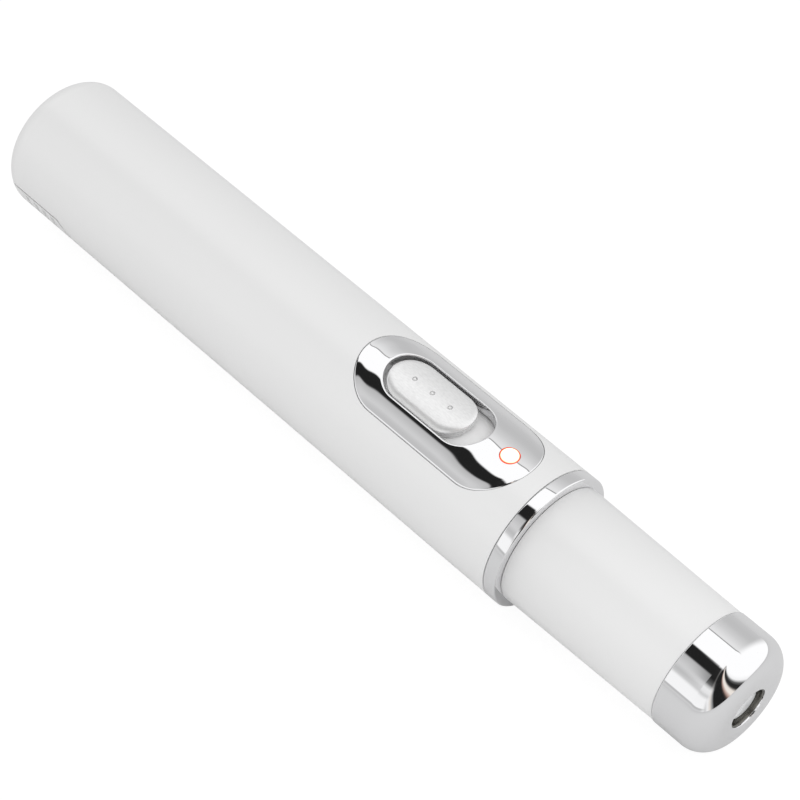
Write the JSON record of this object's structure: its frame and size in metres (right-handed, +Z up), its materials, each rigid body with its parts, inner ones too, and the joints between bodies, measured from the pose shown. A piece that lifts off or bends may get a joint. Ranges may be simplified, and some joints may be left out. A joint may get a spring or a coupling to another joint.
{
  "type": "electric eye massager",
  "caption": "Pen-shaped electric eye massager with a chrome tip, a sliding switch button in a chrome plate, an indicator lamp and a slide-off battery door.",
  "frame": {"origin": "bottom centre of the pen's bounding box, under the lowest line of the case when the button faces up", "axes": "+X along the pen towards the chrome tip, +Z up through the slide button"},
  "size_m": [0.1438, 0.022, 0.0224],
  "materials": {
    "white_abs": "satin gloss moulded ABS",
    "chrome_trim": "mirror chrome plate",
    "satin_silver": "satin silver",
    "pale_plastic": "matte",
    "clear_lens": "clear",
    "lamp_epoxy": "diffused epoxy",
    "grey_plastic": "matte",
    "cell_jacket": "plain printed jacket",
    "nickel_steel": "nickel plated",
    "weight_metal": "sintered",
    "grey_silicone": "soft",
    "board_green": "solder mask",
    "black_plastic": "matte",
    "black_wire": "insulated wire",
    "red_wire": "insulated wire"
  },
  "bodies": {
    "case": {"body_shell": "white_abs", "front_ring": "chrome_trim", "front_barrel": "white_abs", "tip_cap": "chrome_trim", "tip_lens": "clear_lens", "switch_bezel": "chrome_trim", "indicator_led": "lamp_epoxy", "inner_chassis": "grey_plastic", "battery_rear": "cell_jacket", "battery_front": "cell_jacket", "battery_spring": "nickel_steel", "spring_plate": "nickel_steel", "positive_contact": "nickel_steel", "main_board": "board_green", "driver_chip": "black_plastic", "board_resistor_1": "grey_plastic", "board_resistor_2": "grey_plastic", "board_resistor_3": "grey_plastic", "board_capacitor": "black_plastic", "board_screw_rear": "nickel_steel", "board_screw_front": "nickel_steel", "slide_switch": "nickel_steel", "negative_wire": "black_wire", "positive_wire": "red_wire", "motor_wire_black": "black_wire", "motor_wire_red": "red_wire", "led_wire_black": "black_wire", "led_wire_red": "red_wire", "vibration_motor": "nickel_steel", "motor_holder": "grey_silicone", "led_board": "board_green", "led_holder": "pale_plastic", "treatment_led": "lamp_epoxy"},
    "door": {"battery_door": "white_abs"},
    "switch_slider": {"slide_button": "satin_silver", "button_shutter": "pale_plastic", "switch_lever": "black_plastic"},
    "rotor": {"motor_shaft": "nickel_steel", "eccentric_weight": "weight_metal"}
  },
  "joints": [
    {"name": "button_slide", "type": "slide", "parent": "case", "child": "switch_slider", "axis": [1, 0, 0], "range_m": [0, 0.0025]},
    {"name": "door_slide", "type": "slide", "parent": "case", "child": "door", "axis": [-1, 0, 0], "range_m": [0, 0.105]},
    {"name": "motor_spin", "type": "hinge", "parent": "case", "child": "rotor", "pos_m": [0.05, 0, 0.01098], "axis": [1, 0, 0], "continuous": true}
  ]
}
